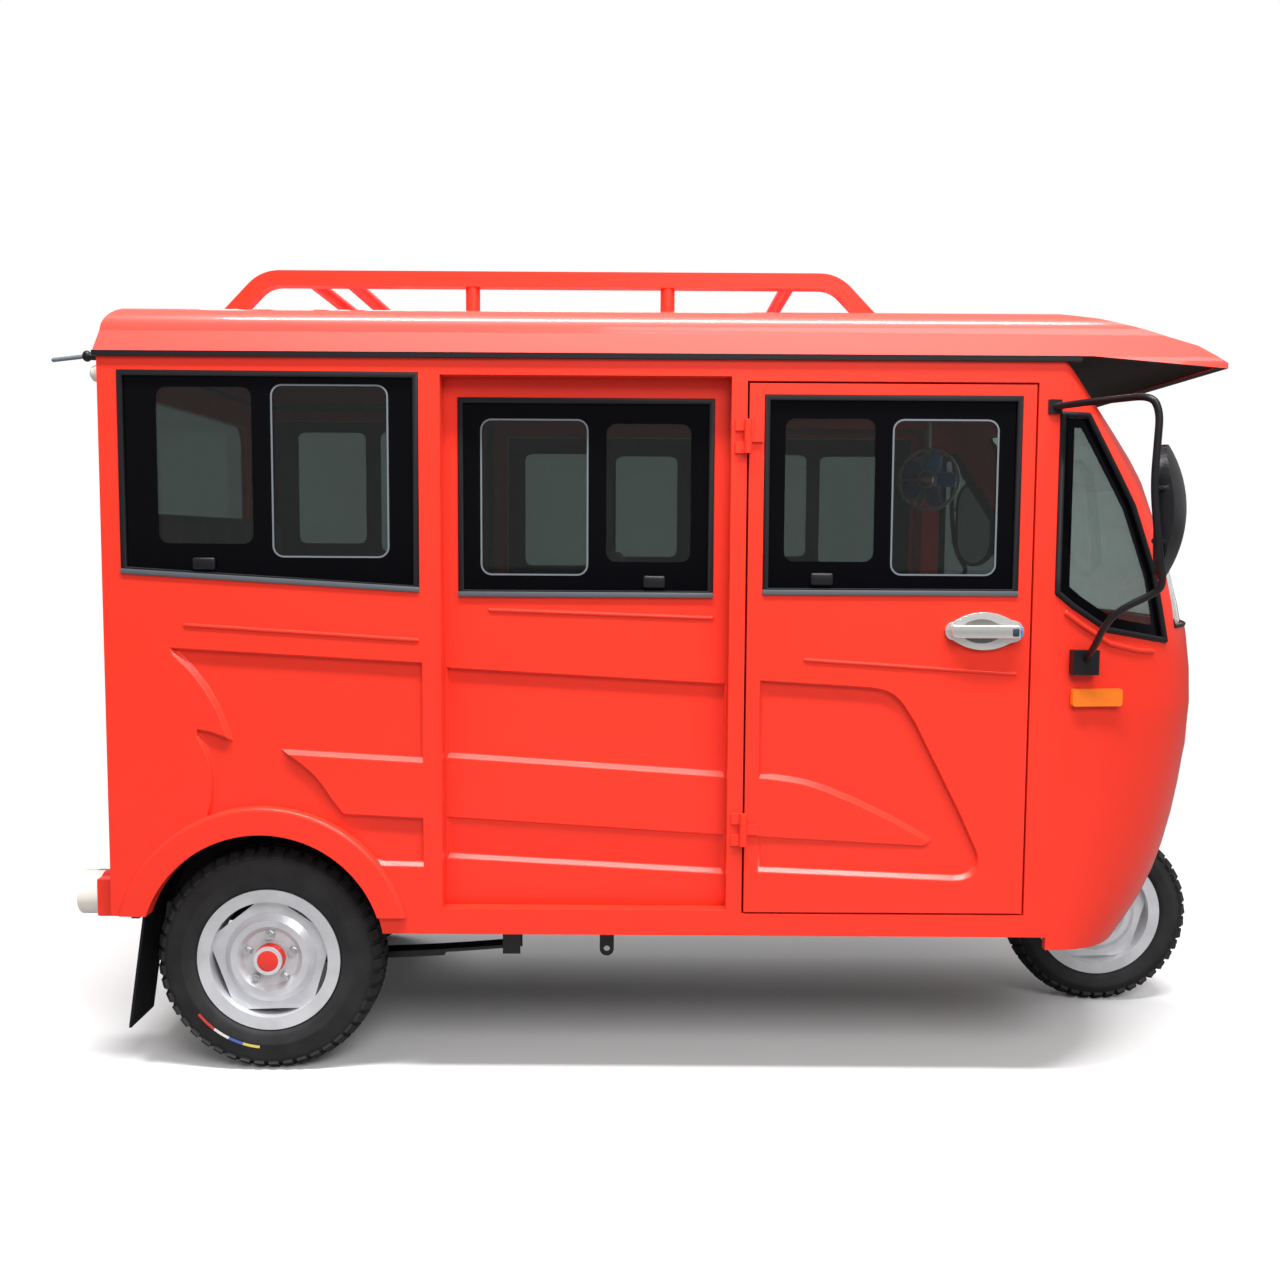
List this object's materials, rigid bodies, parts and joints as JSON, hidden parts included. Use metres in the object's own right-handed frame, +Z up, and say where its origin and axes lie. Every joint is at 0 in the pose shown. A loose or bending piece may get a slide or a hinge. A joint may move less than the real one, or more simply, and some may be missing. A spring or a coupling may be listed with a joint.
{
  "type": "enclosed passenger auto rickshaw",
  "caption": "Enclosed passenger rickshaw with a single steered front wheel, hinged front doors, sliding side doors, glazed cabin, visor roof and luggage rack.",
  "frame": {"origin": "ground below the middle of the overall length, on the centre plane", "axes": "+X forward, +Y left, +Z up"},
  "size_m": [2.872, 1.7102, 1.919],
  "materials": {
    "frame_black": "satin",
    "floor_grey": "matte",
    "engine_grey": "rough",
    "body_red": "gloss",
    "black_rubber": "matte",
    "dark_glass": "clear",
    "black_plastic": "satin",
    "mirror_face": "polished",
    "seat_brown": "satin",
    "lens_pale": "gloss",
    "lens_amber": "gloss",
    "fan_grey": "gloss",
    "fork_steel": "satin",
    "tyre_black": "matte",
    "rim_silver": "satin"
  },
  "bodies": {
    "body": {"chassis_frame": "frame_black", "floor_pan": "floor_grey", "engine": "engine_grey", "rear_axle": "frame_black", "leaf_springs": "frame_black", "side_frame_right": "body_red", "side_frame_left": "body_red", "quarter_panel_right": "body_red", "quarter_panel_left": "body_red", "rear_panel": "body_red", "nose_shell": "body_red", "roof_seal": "black_rubber", "roof": "body_red", "roof_rack": "body_red", "cabin_glass": "dark_glass", "windscreen": "dark_glass", "nose_glass": "dark_glass", "mirrors": "black_plastic", "mirror_glass": "mirror_face", "driver_seat": "seat_brown", "rear_bench": "seat_brown", "seat_bases": "frame_black", "wheelhouses": "black_rubber", "mudflaps": "black_rubber", "tail_lamps": "lens_pale", "rear_bumper": "body_red", "headlamps": "lens_pale", "marker_lamps": "lens_amber", "cabin_fan": "fan_grey"},
    "steering": {"fork": "fork_steel", "handlebar": "black_plastic"},
    "front_wheel": {"front_tyre": "tyre_black", "front_rim": "rim_silver"},
    "rear_wheel_right": {"rear_tyre_right": "tyre_black", "rear_rim_right": "rim_silver"},
    "rear_wheel_left": {"rear_tyre_left": "tyre_black", "rear_rim_left": "rim_silver"},
    "front_door_right": {"door_right": "body_red", "door_glass_right": "dark_glass"},
    "front_door_left": {"door_left": "body_red", "door_glass_left": "dark_glass"},
    "side_door_right": {"slide_door_right": "body_red", "slide_glass_right": "dark_glass"},
    "side_door_left": {"slide_door_left": "body_red", "slide_glass_left": "dark_glass"}
  },
  "joints": [
    {"name": "steer", "type": "hinge", "parent": "body", "child": "steering", "pos_m": [1.16042, 0, 0.23861], "axis": [-0.4067, 0, 0.9135], "range_deg": [-40, 40]},
    {"name": "front_spin", "type": "hinge", "parent": "steering", "child": "front_wheel", "pos_m": [1.186, 0, 0.25], "axis": [0, 1, 0], "continuous": true},
    {"name": "rear_spin_right", "type": "hinge", "parent": "body", "child": "rear_wheel_right", "pos_m": [-0.989, -0.483, 0.272], "axis": [0, 1, 0], "continuous": true},
    {"name": "rear_spin_left", "type": "hinge", "parent": "body", "child": "rear_wheel_left", "pos_m": [-0.989, 0.483, 0.272], "axis": [0, 1, 0], "continuous": true},
    {"name": "front_door_right", "type": "hinge", "parent": "body", "child": "front_door_right", "pos_m": [0.141, -0.61, 1], "axis": [0, 0, -1], "range_deg": [0, 70]},
    {"name": "front_door_left", "type": "hinge", "parent": "body", "child": "front_door_left", "pos_m": [0.141, 0.61, 1], "axis": [0, 0, 1], "range_deg": [0, 70]},
    {"name": "side_door_right", "type": "slide", "parent": "body", "child": "side_door_right", "axis": [1, 0, 0], "range_m": [0, 0.6]},
    {"name": "side_door_left", "type": "slide", "parent": "body", "child": "side_door_left", "axis": [1, 0, 0], "range_m": [0, 0.6]}
  ]
}
